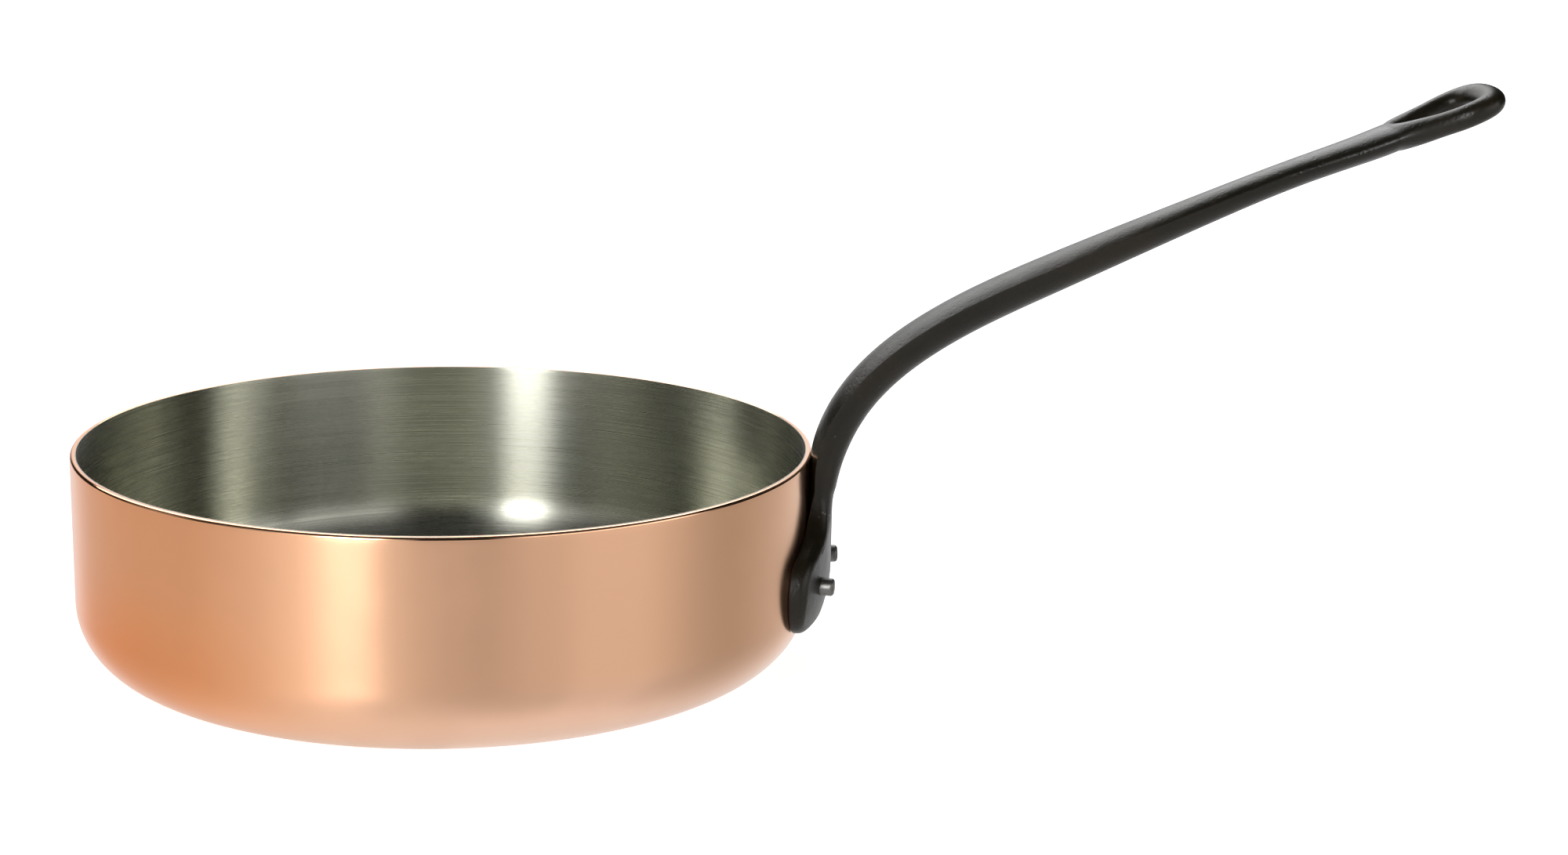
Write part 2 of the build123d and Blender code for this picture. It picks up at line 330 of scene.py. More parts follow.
class NodeSheet:
    """Short calls for one node tree: make a node, set its sockets, link it."""

    def __init__(self, tree: bpy.types.NodeTree) -> None:
        """Takes an empty tree."""
        self.tree = tree
        tree.nodes.clear()

    def add(
        self, kind: str, settings: dict | None = None, **inputs: Value
    ) -> bpy.types.Node:
        """Adds a node.

        Args:
            kind: Blender's node type.
            settings: Node properties.
            **inputs: Socket names, with underscores for spaces, and a value
                or an output socket for each.

        Returns:
            The node.
        """
        node = self.tree.nodes.new(kind)
        for key, value in (settings or {}).items():
            setattr(node, key, value)
        for key, value in inputs.items():
            self.set(node, key.replace("_", " "), value)
        return node

    def set(self, node: bpy.types.Node, socket: str | int, value: Value) -> None:
        """Sets a socket by name or number to a value, or links an output to it."""
        target = node.inputs[socket]
        if isinstance(value, Socket):
            self.tree.links.new(value, target)
        else:
            target.default_value = value

    def math(self, operation: str, a: Value, b: Value) -> Socket:
        """Output of a math node on two values."""
        node = self.add("ShaderNodeMath", {"operation": operation})
        self.set(node, 0, a)
        self.set(node, 1, b)
        return node.outputs[0]

    def total(self, *terms: tuple, plus: float | None = None) -> Socket:
        """Sum of values times their weights, and a plain number.

        Args:
            *terms: Pairs of a value and its weight.
            plus: Number added last.

        Returns:
            The output socket.
        """
        parts = [self.math("MULTIPLY", value, weight) for value, weight in terms]
        whole = parts[0]
        for part in parts[1:]:
            whole = self.math("ADD", whole, part)
        return whole if plus is None else self.math("ADD", whole, plus)

    def mix_colour(self, factor: Value, a: Value, b: Value) -> Socket:
        """Output colour between a and b, which are sockets or plain colours."""
        node = self.add("ShaderNodeMix", {"data_type": "RGBA", "clamp_factor": True})
        self.set(node, 0, factor)
        for socket, colour in ((6, a), (7, b)):
            self.set(node, socket, (*colour, 1.0) if isinstance(colour, tuple) else colour)
        return node.outputs[2]

    def ramp(
        self, value: Value, low: float, high: float, out_low: float = 0.0, out_high: float = 1.0
    ) -> Socket:
        """Output of a smooth range change from low..high to out_low..out_high."""
        node = self.add("ShaderNodeMapRange", {"interpolation_type": "SMOOTHSTEP"})
        for name, item in (("Value", value), ("From Min", low), ("From Max", high),
                           ("To Min", out_low), ("To Max", out_high)):
            self.set(node, name, item)
        return node.outputs[0]

    def noise(
        self, vector: Socket, scale: Value, detail: float, roughness: float = 0.5
    ) -> Socket:
        """Output value of a noise texture."""
        node = self.add("ShaderNodeTexNoise", Vector=vector, Scale=scale, Detail=detail)
        self.set(node, "Roughness", roughness)
        return node.outputs["Fac"]


def new_group(name: str, inputs: dict, outputs: dict) -> tuple:
    """Shader node group with named sockets.

    Args:
        name: The group's name.
        inputs: Socket names, with "Vector" or a float default for each.
        outputs: Socket names and types.

    Returns:
        The group, its sheet, the input node and the output node.
    """
    group = bpy.data.node_groups.new(name, "ShaderNodeTree")
    for label, default in inputs.items():
        kind = "NodeSocketVector" if default == "Vector" else "NodeSocketFloat"
        socket = group.interface.new_socket(label, in_out="INPUT", socket_type=kind)
        if default != "Vector":
            socket.default_value = default
    for label, kind in outputs.items():
        group.interface.new_socket(label, in_out="OUTPUT", socket_type=kind)
    sheet = NodeSheet(group)
    return group, sheet, sheet.add("NodeGroupInput"), sheet.add("NodeGroupOutput")


class Effects:
    """Node groups that several finishes share."""

    def __init__(self) -> None:
        """Makes each group once."""
        self.brushed = self._brushed_lines()
        self.smudges = self._soft_smudges()
        self.grain = self._cast_grain()
        self.specks = self._bright_specks()

    @staticmethod
    def _brushed_lines() -> bpy.types.NodeTree:
        """Fine lines that run round the Z axis: two noises that change fast
        along the profile and slowly round the turn."""
        group, s, gin, gout = new_group(
            "brushed_lines",
            {"Position": "Vector", "Along": 0.0, "Fineness": 5000.0, "Length": 14.0},
            {"Lines": "NodeSocketFloat"},
        )
        split = s.add("ShaderNodeSeparateXYZ", Vector=gin.outputs["Position"])
        x = s.math("MULTIPLY", split.outputs[0], gin.outputs["Length"])
        y = s.math("MULTIPLY", split.outputs[1], gin.outputs["Length"])
        z = s.math("MULTIPLY", gin.outputs["Along"], gin.outputs["Fineness"])
        place = s.add("ShaderNodeCombineXYZ", X=x, Y=y, Z=z)
        fine = s.noise(place.outputs[0], 1.0, 3.0, 0.6)
        z_wide = s.math("MULTIPLY", z, 0.17)
        wide_place = s.add("ShaderNodeCombineXYZ", X=x, Y=y, Z=z_wide)
        wide = s.noise(wide_place.outputs[0], 1.0, 2.0, 0.5)
        s.set(gout, "Lines", s.total((fine, 0.65), (wide, 0.35)))
        return group

    @staticmethod
    def _soft_smudges() -> bpy.types.NodeTree:
        """Broad uneven patches, as polishing and handling leave: the weighted
        sum of two noises, sharpened by an eased ramp."""
        group, s, gin, gout = new_group(
            "soft_smudges", {"Position": "Vector", "Size": 18.0},
            {"Mask": "NodeSocketFloat"},
        )
        broad = s.noise(gin.outputs["Position"], gin.outputs["Size"], 3.0, 0.55)
        small_size = s.math("MULTIPLY", gin.outputs["Size"], 4.3)
        small = s.noise(gin.outputs["Position"], small_size, 4.0, 0.6)
        s.set(gout, "Mask", s.ramp(s.total((broad, 0.7), (small, 0.3)), 0.38, 0.62))
        return group

    @staticmethod
    def _cast_grain() -> bpy.types.NodeTree:
        """Skin of a sand casting: the weighted sum of a fine noise, a slower
        swell and the pits between Voronoi cells."""
        group, s, gin, gout = new_group(
            "cast_grain", {"Position": "Vector", "Size": 900.0},
            {"Height": "NodeSocketFloat", "Pits": "NodeSocketFloat"},
        )
        fine = s.noise(gin.outputs["Position"], gin.outputs["Size"], 3.0, 0.6)
        slow_size = s.math("MULTIPLY", gin.outputs["Size"], 0.12)
        slow = s.noise(gin.outputs["Position"], slow_size, 3.0, 0.5)
        cells = s.add("ShaderNodeTexVoronoi", Vector=gin.outputs["Position"])
        s.set(cells, "Scale", s.math("MULTIPLY", gin.outputs["Size"], 0.45))
        pit = s.ramp(cells.outputs["Distance"], 0.05, 0.32)
        s.set(gout, "Height", s.total((fine, 0.45), (slow, 1.1), (pit, 0.25)))
        s.set(gout, "Pits", pit)
        return group

    @staticmethod
    def _bright_specks() -> bpy.types.NodeTree:
        """Small scattered marks: the middles of Voronoi cells, thinned by a noise."""
        group, s, gin, gout = new_group(
            "bright_specks", {"Position": "Vector", "Size": 260.0, "Amount": 0.5},
            {"Mask": "NodeSocketFloat"},
        )
        cells = s.add("ShaderNodeTexVoronoi", Vector=gin.outputs["Position"])
        s.set(cells, "Scale", gin.outputs["Size"])
        spot = s.ramp(cells.outputs["Distance"], 0.22, 0.10)
        thin_size = s.math("MULTIPLY", gin.outputs["Size"], 0.3)
        thin = s.noise(gin.outputs["Position"], thin_size, 3.0)
        gate = s.ramp(thin, 0.61, 0.70)
        wanted = s.math("MULTIPLY", s.math("MULTIPLY", spot, gate), gin.outputs["Amount"])
        s.set(gout, "Mask", wanted)
        return group


@dataclass(frozen=True)
class Finish:
    """What every finish has: a name, a colour and how rough it is."""

    name: str
    colour: tuple
    roughness: float
    metallic: float

    def start(self) -> tuple:
        """New material with its Principled shader and an Object coordinate.

        Returns:
            The material, its sheet, the shader node and the position socket.
        """
        material = bpy.data.materials.new(self.name)
        material.use_nodes = True
        s = NodeSheet(material.node_tree)
        shader = s.add("ShaderNodeBsdfPrincipled")
        s.set(shader, "Base Color", (*self.colour, 1.0))
        s.set(shader, "Roughness", self.roughness)
        s.set(shader, "Metallic", self.metallic)
        s.add("ShaderNodeOutputMaterial", Surface=shader.outputs[0])
        material.diffuse_color = (*self.colour, 1.0)
        position = s.add("ShaderNodeTexCoord").outputs["Object"]
        return material, s, shader, position

    @staticmethod
    def group(s: NodeSheet, tree: bpy.types.NodeTree, **inputs: Value) -> bpy.types.Node:
        """Places a shared group in a material."""
        return s.add("ShaderNodeGroup", {"node_tree": tree}, **inputs)

    @staticmethod
    def bump(
        s: NodeSheet, shader: bpy.types.Node, height: Socket, strength: float, distance: float
    ) -> None:
        """Sends a height to the shader's normal."""
        node = s.add("ShaderNodeBump", Height=height, Strength=strength, Distance=distance)
        s.set(shader, "Normal", node.outputs[0])


@dataclass(frozen=True)
class BrushedFinish(Finish):
    """A metal brushed round the Z axis, in lines that follow its profile."""

    brushing: float = 0.9       # how far the gloss is stretched along the lines
    line_length: float = 10.0
    line_fineness: float = 5200.0
    line_bump: float = 0.04
    line_depth: float = 0.00006

    def lines(self, s: NodeSheet, effects: Effects, position: Socket) -> Socket:
        """The shared brushed lines at this finish's size."""
        along = s.add("ShaderNodeAttribute", {"attribute_name": PROFILE_LAYER})
        return self.group(
            s, effects.brushed, Position=position, Along=along.outputs["Fac"],
            Fineness=self.line_fineness, Length=self.line_length,
        ).outputs[0]

    def brush(self, s: NodeSheet, shader: bpy.types.Node, lines: Socket) -> None:
        """Stretches the gloss round the axis and presses the lines in."""
        s.set(shader, "Anisotropic", self.brushing)
        s.set(shader, "Anisotropic Rotation", 0.25)
        tangent = s.add("ShaderNodeTangent", {"direction_type": "RADIAL", "axis": "Z"})
        s.set(shader, "Tangent", tangent.outputs[0])
        self.bump(s, shader, lines, self.line_bump, self.line_depth)


@dataclass(frozen=True)
class PolishedCopper(BrushedFinish):
    """Satin-polished copper: bright, brushed round, with a painted warm reflection
    on the left and lower wall and a painted floor reflection where it turns under.

    A span is where a colour begins and is full, in metres, and a share after
    it is what the colour has at each end.
    """

    # painted reflection: a warmer tint on the left and lower wall
    painted_warm_reflection: tuple = (0.99, 0.34, 0.10)
    # painted reflection of the pale floor, where the wall turns under
    pale: tuple = (0.90, 0.64, 0.52)
    dull: tuple = (0.80, 0.46, 0.29)
    painted_warm_reflection_leftward: tuple = (0.01, -0.11)
    painted_warm_reflection_downward: tuple = (0.055, 0.012, 0.42, 1.0)
    painted_floor_reflection_downward: tuple = (0.028, 0.004)
    painted_floor_reflection_rightward: tuple = (-0.06, 0.06, 0.12, 0.75)
    dull_share: float = 0.16
    smudge_size: float = 15.0
    smudge_roughness: float = 0.03
    lip_levels: tuple = (0.0687, 0.0692)
    lip_share: float = 0.45     # how rough the rounded rim is, against the wall
    brushing: float = 0.88
    line_length: float = 11.0
    line_bump: float = 0.035

    def build(self, effects: Effects) -> bpy.types.Material:
        """Makes the material.

        The painted warm reflection's share is an eased ramp leftward times one
        downward, and the painted floor reflection's is one downward times one rightward.

        Args:
            effects: The shared groups.

        Returns:
            The material.
        """
        material, s, shader, position = self.start()
        place = s.add("ShaderNodeSeparateXYZ", Vector=position)
        x, z = place.outputs[0], place.outputs[2]
        smudge = self.group(
            s, effects.smudges, Position=position, Size=self.smudge_size
        ).outputs[0]
        base = self.colour
        for colour, ramps in (
            # the painted warm reflection, to the left and downward
            (self.painted_warm_reflection, (s.ramp(x, *self.painted_warm_reflection_leftward), s.ramp(z, *self.painted_warm_reflection_downward))),
            # the painted floor reflection, downward and to the right
            (self.pale, (s.ramp(z, *self.painted_floor_reflection_downward), s.ramp(x, *self.painted_floor_reflection_rightward))),
            (self.dull, (smudge, self.dull_share)),
        ):
            base = s.mix_colour(s.math("MULTIPLY", *ramps), base, colour)
        s.set(shader, "Base Color", base)
        half = self.smudge_roughness / 2
        rough = s.total((smudge, self.smudge_roughness), plus=self.roughness - half)
        lip = s.ramp(s.ramp(z, *self.lip_levels), 0.0, 1.0, 1.0, self.lip_share)
        s.set(shader, "Roughness", s.math("MULTIPLY", rough, lip))
        self.brush(s, shader, self.lines(s, effects, position))
        return material


@dataclass(frozen=True)
class BrushedSteel(BrushedFinish):
    """Stainless lining, brushed round and down the wall, a little olive."""

    shade: tuple = (0.36, 0.36, 0.31)
    streak_span: tuple = (0.36, 0.64)
    streak_shade: float = 0.18
    streak_roughness: float = 0.07
    smudge_size: float = 12.0
    smudge_shade: float = 0.12
    smudge_roughness: float = 0.03
    smoother: float = 0.03      # taken off the roughness before the streaks
    brushing: float = 0.96
    line_length: float = 9.0
    line_bump: float = 0.045

    def build(self, effects: Effects) -> bpy.types.Material:
        """Makes the material.

        Args:
            effects: The shared groups.

        Returns:
            The material.
        """
        material, s, shader, position = self.start()
        smudge = self.group(
            s, effects.smudges, Position=position, Size=self.smudge_size
        ).outputs[0]
        lines = self.lines(s, effects, position)
        streak = s.ramp(lines, *self.streak_span)
        shade = s.total((streak, self.streak_shade), (smudge, self.smudge_shade))
        s.set(shader, "Base Color", s.mix_colour(shade, self.colour, self.shade))
        rough = s.total((streak, self.streak_roughness), plus=self.roughness - self.smoother)
        rough = s.math("ADD", rough, s.math("MULTIPLY", smudge, self.smudge_roughness))
        s.set(shader, "Roughness", rough)
        self.brush(s, shader, lines)
        return material


@dataclass(frozen=True)
class CastIron(Finish):
    """Blackened cast iron: olive black, fine sand texture, a waxy sheen and a
    few bright specks where the black has worn."""

    brown: tuple = (0.018, 0.013, 0.006)
    bare: tuple = (0.20, 0.19, 0.17)
    brown_share: float = 0.7
    smudge_size: float = 26.0
    smudge_roughness: float = 0.07
    grain_size: float = 1150.0
    grain_bump: float = 0.6
    grain_depth: float = 0.00034
    pit_roughness: float = -0.04
    speck_size: float = 360.0
    speck_amount: float = 0.85
    smoother: float = 0.03      # taken off the roughness before the smudges
    ior: float = 1.40

    def build(self, effects: Effects) -> bpy.types.Material:
        """Makes the material.

        Args:
            effects: The shared groups.

        Returns:
            The material.
        """
        material, s, shader, position = self.start()
        smudge = self.group(
            s, effects.smudges, Position=position, Size=self.smudge_size
        ).outputs[0]
        grain = self.group(s, effects.grain, Position=position, Size=self.grain_size)
        specks = self.group(
            s, effects.specks, Position=position, Size=self.speck_size,
            Amount=self.speck_amount,
        ).outputs[0]
        share = s.math("MULTIPLY", smudge, self.brown_share)
        base = s.mix_colour(share, self.colour, self.brown)
        s.set(shader, "Base Color", s.mix_colour(specks, base, self.bare))
        rough = s.total((smudge, self.smudge_roughness), plus=self.roughness - self.smoother)
        pits = s.math("MULTIPLY", grain.outputs["Pits"], self.pit_roughness)
        s.set(shader, "Roughness", s.math("ADD", rough, pits))
        s.set(shader, "IOR", self.ior)
        self.bump(s, shader, grain.outputs["Height"], self.grain_bump, self.grain_depth)
        return material


@dataclass(frozen=True)
class DullSteel(Finish):
    """Rivet steel: grey, hammered, with a dark film in the hollows."""

    film: tuple = (0.10, 0.098, 0.09)
    film_share: float = 0.6
    smudge_size: float = 160.0
    smudge_roughness: float = 0.16
    grain_size: float = 700.0
    grain_bump: float = 0.45
    grain_depth: float = 0.0002
    smoother: float = 0.05      # taken off the roughness before the smudges

    def build(self, effects: Effects) -> bpy.types.Material:
        """Makes the material.

        Args:
            effects: The shared groups.

        Returns:
            The material.
        """
        material, s, shader, position = self.start()
        smudge = self.group(
            s, effects.smudges, Position=position, Size=self.smudge_size
        ).outputs[0]
        grain = self.group(s, effects.grain, Position=position, Size=self.grain_size)
        share = s.math("MULTIPLY", smudge, self.film_share)
        s.set(shader, "Base Color", s.mix_colour(share, self.colour, self.film))
        rough = s.total((smudge, self.smudge_roughness), plus=self.roughness - self.smoother)
        s.set(shader, "Roughness", rough)
        self.bump(s, shader, grain.outputs["Height"], self.grain_bump, self.grain_depth)
        return material


# ------------------------------------------------------------------- vessel
@dataclass
class Vessel:
    """The copper body and its steel lining, both turned about Z."""

    radius: float = 119.96
    height: float = 70.0
    copper: float = 1.8
    lining: float = 0.2
    corner: float = 22.0
    lip: float = 1.0
    inner_lip: float = 0.08
    segments: int = 512
    wall_step: float = 1.6
    base_points: int = 26
    corner_points: int = 25

    def half_profile(
        self, radius: float, bottom: float, corner: float, top: float
    ) -> np.ndarray:
        """From the axis along the base, round the corner and up the wall.

        The base is a straight run, the corner a quarter circle and the wall
        a straight run.

        Args:
            radius: Of the wall.
            bottom: Height of the base.
            corner: Radius of the corner.
            top: Height the wall ends at.

        Returns:
            Rows of radius and height.
        """
        flat = radius - corner
        count = self.base_points
        base = np.stack([np.linspace(0, flat, count), np.full(count, bottom)], axis=-1)
        turn = np.linspace(-np.pi / 2, 0, self.corner_points)[1:]
        rise = bottom + corner + corner * np.sin(turn)
        bend = np.stack([flat + corner * np.cos(turn), rise], axis=-1)
        rows = int((top - bottom - corner) / self.wall_step)
        levels = np.linspace(bottom + corner, top, rows)[1:]
        wall = np.stack([np.full(len(levels), radius), levels], axis=-1)
        return np.vstack([base, bend, wall])

    def shell_profile(
        self, radius: float, bottom: float, corner: float, thickness: float,
        outer_lip: float, inner_lip: float,
    ) -> np.ndarray:
        """Outside profile, rim and inside profile as one line, axis to axis.

        Each lip is a quarter circle between the wall and the flat rim.

        Args:
            radius: Outside radius.
            bottom: Height of the underside.
            corner: Outside radius of the corner.
            thickness: Of the sheet.
            outer_lip: Radius of the rim's outer edge, or 0.
            inner_lip: Radius of the rim's inner edge, or 0.

        Returns:
            Rows of radius and height.
        """
        outer = self.half_profile(radius, bottom, corner, self.height - outer_lip)
        inner = self.half_profile(
            radius - thickness, bottom + thickness, corner - thickness,
            self.height - inner_lip,
        )
        rim = []
        turn = np.linspace(0, np.pi / 2, 9)[1:]
        if outer_lip > 0:
            x = radius - outer_lip + outer_lip * np.cos(turn)
            rise = self.height - outer_lip + outer_lip * np.sin(turn)
            rim.append(np.stack([x, rise], axis=-1))
        if inner_lip > 0:
            back = radius - thickness + inner_lip - inner_lip * np.sin(turn)
            drop = self.height - inner_lip + inner_lip * np.cos(turn)
            start = [[radius - thickness + inner_lip, self.height]]
            rim += [np.array(start), np.stack([back, drop], axis=-1)[:-1]]
        return np.vstack([outer, *rim, inner[::-1]])

    def build(self, copper: bpy.types.Material, steel: bpy.types.Material) -> None:
        """Makes both pieces and puts them in place of their CAD nodes.

        Args:
            copper: Material of the body.
            steel: Material of the lining.
        """
        body = self.shell_profile(self.radius, 0, self.corner, self.copper, self.lip, 0)
        skin = self.shell_profile(
            self.radius - self.copper, self.copper, self.corner - self.copper,
            self.lining, 0, self.inner_lip,
        )
        for name, node, profile, finish, slot in (
            ("copper_vessel", "copper_body", body, copper, "copper"),
            ("steel_skin", "steel_lining", skin, steel, "lining_steel"),
        ):
            obj = turned_shell(name, profile, self.segments, finish)
            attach(obj, "root")
            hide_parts(node)


# ------------------------------------------------------------------- rivets
@dataclass
class Rivet:
    """One rivet: a domed head in the well, a shank, and an upset tail outside."""

    name: str
    node: str
    side: int
    seed: int
    level: float = 30.0
    half_spacing: float = 18.6
    shank: float = 2.9
    inside: float = 118.0
    head_radius: float = 6.5
    head_height: float = 2.6
    tail_end: float = 130.68
    tail_round: float = 1.0     # radius of the tail's edge
    shank_points: int = 14
    pan_radius: float = 120.0
    segments: int = 72

    def profile(self) -> np.ndarray:
        """Head, skirt, shank and tail as one line, axis to axis.

        The head is an arc whose radius is (r^2 + h^2) / 2h, for a head of
        radius r and height h.

        Returns:
            Rows of distance from the rivet's axis and from the pan's.
        """
        dome = (self.head_radius**2 + self.head_height**2) / (2 * self.head_height)
        reach = np.linspace(0, self.head_radius, 18)
        base = self.inside - self.head_height
        face = base + dome - np.sqrt(dome**2 - reach**2)
        head = np.stack([reach, face], axis=-1)
        skirt = np.array([[self.head_radius + 0.02, self.inside + 0.1],
                          [self.head_radius - 0.1, self.inside + 0.17]])
        edge_start = self.tail_end - self.tail_round
        levels = np.linspace(self.inside + 0.18, edge_start, self.shank_points)
        body = np.stack([np.full(self.shank_points, self.shank), levels], axis=-1)
        turn = np.linspace(0, np.pi / 2, 10)[1:]
        flat = self.shank - self.tail_round
        edge = np.stack(
            [flat + self.tail_round * np.cos(turn), edge_start + self.tail_round * np.sin(turn)],
            axis=-1,
        )
        top = np.stack([np.linspace(flat, 0, 7)[1:], np.full(6, self.tail_end)], axis=-1)
        return np.vstack([head, skirt, body, edge, top])

    def build(self, finish: bpy.types.Material) -> None:
        """Turns the profile about the rivet's axis, with hammer marks on the tail.

        The tail's radius shrinks by 1.2 percent of 1 plus two sine lobes, and
        its end is pressed in by up to 0.18 mm where the hammer fell.

        Args:
            finish: Its material.
        """
        rng = np.random.default_rng(self.seed)
        profile = self.profile()
        angle = np.arange(self.segments) * 2 * np.pi / self.segments
        r = np.repeat(profile[1:-1, :1], self.segments, axis=1)
        h = np.repeat(profile[1:-1, 1:], self.segments, axis=1)
        tail = smoothstep(self.tail_end - 4.0, self.tail_end - 0.6, h)
        phase = rng.uniform(0, 2 * np.pi, 3)
        lobes = 0.5 * np.sin(2 * angle + phase[0]) + 0.3 * np.sin(3 * angle + phase[1])
        r = r * (1 - 0.012 * tail * (1 + lobes))
        press = 0.09 * (1 + np.sin(angle + phase[2])) * smoothstep(0.2, 2.9, r)
        h = h - tail * press
        turn = self.side * math.asin(self.half_spacing / self.pan_radius)
        out = np.array([math.cos(turn), math.sin(turn), 0])
        across = np.array([-math.sin(turn), math.cos(turn), 0])
        up = np.array([0, 0, 1.0])
        foot = np.array([0, 0, self.level])
        points = (
            foot
            + h[..., None] * out
            + (r * np.cos(angle))[..., None] * across
            + (r * np.sin(angle))[..., None] * up
        )
        ends = np.array([foot + profile[0, 1] * out, foot + (profile[-1, 1] - 0.05) * out])
        obj = make_object(self.name, *capped_rings(points, ends), finish)
        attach(obj, "root")
        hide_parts(self.node)


# ------------------------------------------------------------------- handle
@dataclass(frozen=True)
class Section:
    """Where the handle's section is, and its shape."""

    reach: float                # out from the wall
    rise: float                 # up from the rim
    half_width: float
    thickness: float
    crown: float
    roundness: float


@dataclass
class Handle:
    """Plate, neck, grip and hanging loop as one closed casting.

    The surface is one sheet from the plate's lower edge to the loop's tip,
    and a second sheet that lines the eye. Both are made for one side and
    mirrored.
    """

    wall: float = 120.0
    rim: float = 70.0
    bend: tuple = (39.1, 41.9)
    root: tuple = (171.9, 104.3)
    slope: float = 25.0
    top_columns: int = 24
    belly_columns: int = 38
    grip_step: float = 1.1
    belly_fullness: float = 0.66
    plate_edge: float = 3.3
    plate_centre: float = 7.3
    plate_side: float = 5.2
    plate_half_width: float = 35.0
    heel_radius: float = 45.0
    heel_level: float = 32.4
    blend_low: float = 45.0
    blend_high: float = 60.0
    split: float = 9.0          # the ridge divides this far past the loop's root
    split_thickness: float = 8.9
    loop_dip: float = 0.15      # how far the front of the loop sags below its plane
    bar_thickness: float = 7.3
    ridge_parts: float = 0.45   # share of the loop's side where the ridge is midway
    end_change: tuple = (0.2, -0.09, -0.045, 0.0)   # of the section, a mm along the root
    loop_shoulder: float = 11.9     # half width where the loop begins, at the split
    loop_front: tuple = ((16.0, 12.8), (25.5, 21.2), (32.6, 21.2))
    loop_rear: tuple = ((32.6, 21.2), (40.4, 21.2), (44.88, 17.6), (44.88, 0))
    eye_front: tuple = ((13.6, 0), (13.6, 3.0), (24.2, 13.3), (31.0, 13.3))
    eye_rear: tuple = ((31.0, 13.3), (35.0, 13.3), (36.9, 11.2), (36.9, 0))
    plate_curves: tuple = (
        ((9.5, 55), (9.5, 47), (20, 45), (27, 42)),
        ((27, 42), (32, 40), (35, 36), (35, 29.8)),
        ((35, 29.8), (35, 20.8), (32, 15.8), (23, 15.8)),
    )
    fan_shares: tuple = (0, 0.36, 0.52, 0.74, 1)    # along the outline from blend_high
    fan_levels: tuple = (44.5, 37.0, 27.0, 22.0)    # on the axis, for all but the first

    def sections(self) -> list[Section]:
        """Sections from inside the plate to where the loop's ridge divides."""
        run = (self.root[0] - self.bend[0], self.root[1] - self.bend[1])

        def on_grip(out: float, up: float) -> tuple:
            """Point at shares of the run from the bend to the loop's root."""
            return self.bend[0] + out * run[0], self.bend[1] + up * run[1]

        angle = math.radians(self.slope)
        end = (
            self.root[0] + self.split * math.cos(angle),
            self.root[1] + self.split * math.sin(angle),
        )
        return [
            Section(3.4, -36.0, 9.5, 7.4, 2.2, 0.0),
            Section(3.7, -18.0, 9.5, 7.8, 2.2, 0.0),
            Section(5.0, -2.0, 9.5, 10.9, 2.4, 0.0),
            Section(14.2, 19.0, 10.8, 12.5, 3.0, 0.0),
            Section(*self.bend, 10.8, 12.7, 3.2, 0.0),
            Section(*on_grip(0.272, 0.311), 10.8, 12.1, 3.2, 0.1),
            Section(*on_grip(0.639, 0.678), 8.8, 9.7, 3.3, 0.5),
            Section(*on_grip(0.856, 0.882), 8.9, 8.7, 3.7, 0.8),
            Section(self.root[0] - 0.1, self.root[1] + 0.22, 10.6, 8.9, 4.45, 1.0),
            Section(*end, 12.0, self.split_thickness, self.split_thickness / 2, 1.0),
        ]

    def make_spine(self) -> None:
        """Fits the centre line and the section values to smooth curves of length."""
        sections = self.sections()
        centres = np.array([(self.wall + s.reach, self.rim + s.rise) for s in sections])
        self.knots = running_length(centres)
        angle = math.radians(self.slope)
        self.along = np.array([math.cos(angle), math.sin(angle)])
        self.spine = clamped_spline(self.knots, centres, ([0.0, 1.0], self.along))
        shapes = np.array(
            [(s.half_width, s.thickness, s.crown, s.roundness) for s in sections]
        )
        self.shape = clamped_spline(self.knots, shapes, (np.zeros(4), self.end_change))

    def half_section(
        self, a: np.ndarray, thickness: np.ndarray, crown: np.ndarray, roundness: np.ndarray
    ) -> tuple[np.ndarray, np.ndarray]:
        """Sideways and upward coordinates of half sections.

        The top is a cubic from the middle to the crease, and the belly a
        cubic from the crease to the middle underneath. Roundness 1 makes both
        of them quarters of an ellipse.

        Args:
            a: Half widths, one for each row.
            thickness: Full thicknesses.
            crown: Rise of the top above the crease.
            roundness: 0 has a crease, 1 is an ellipse.

        Returns:
            Two arrays of rows by columns.
        """
        a, thickness, crown, roundness = (
            np.asarray(v, float)[:, None] for v in (a, thickness, crown, roundness)
        )
        top = thickness / 2
        side = top - crown
        pull_in, pull_down = TOP_PULLS
        # t is 1 in the middle of the top and 0 at the crease
        weights = cubic_weights(1 - crowded(self.top_columns, TOP_CROWDING)[None, :])
        y_points = (a, a * (2 + roundness) / 3, a * (1 / 3 + pull_in * roundness), 0 * a)
        h_points = (side, side + crown * (2 / 3 - pull_down * roundness), top, top)
        top_y, top_h = (weighted_sum(weights, p) for p in (y_points, h_points))
        full = ELLIPSE + (self.belly_fullness - ELLIPSE) * (1 - roundness)
        t = np.linspace(0, 1, self.belly_columns)[1:] ** BELLY_CROWDING
        weights = cubic_weights(t[None, :])
        y_points = (a, a, full * a, 0 * a)
        h_points = (side, side - full * (side + top), -top, -top)
        belly_y, belly_h = (weighted_sum(weights, p) for p in (y_points, h_points))
        return np.hstack([top_y, belly_y]), np.hstack([top_h, belly_h])

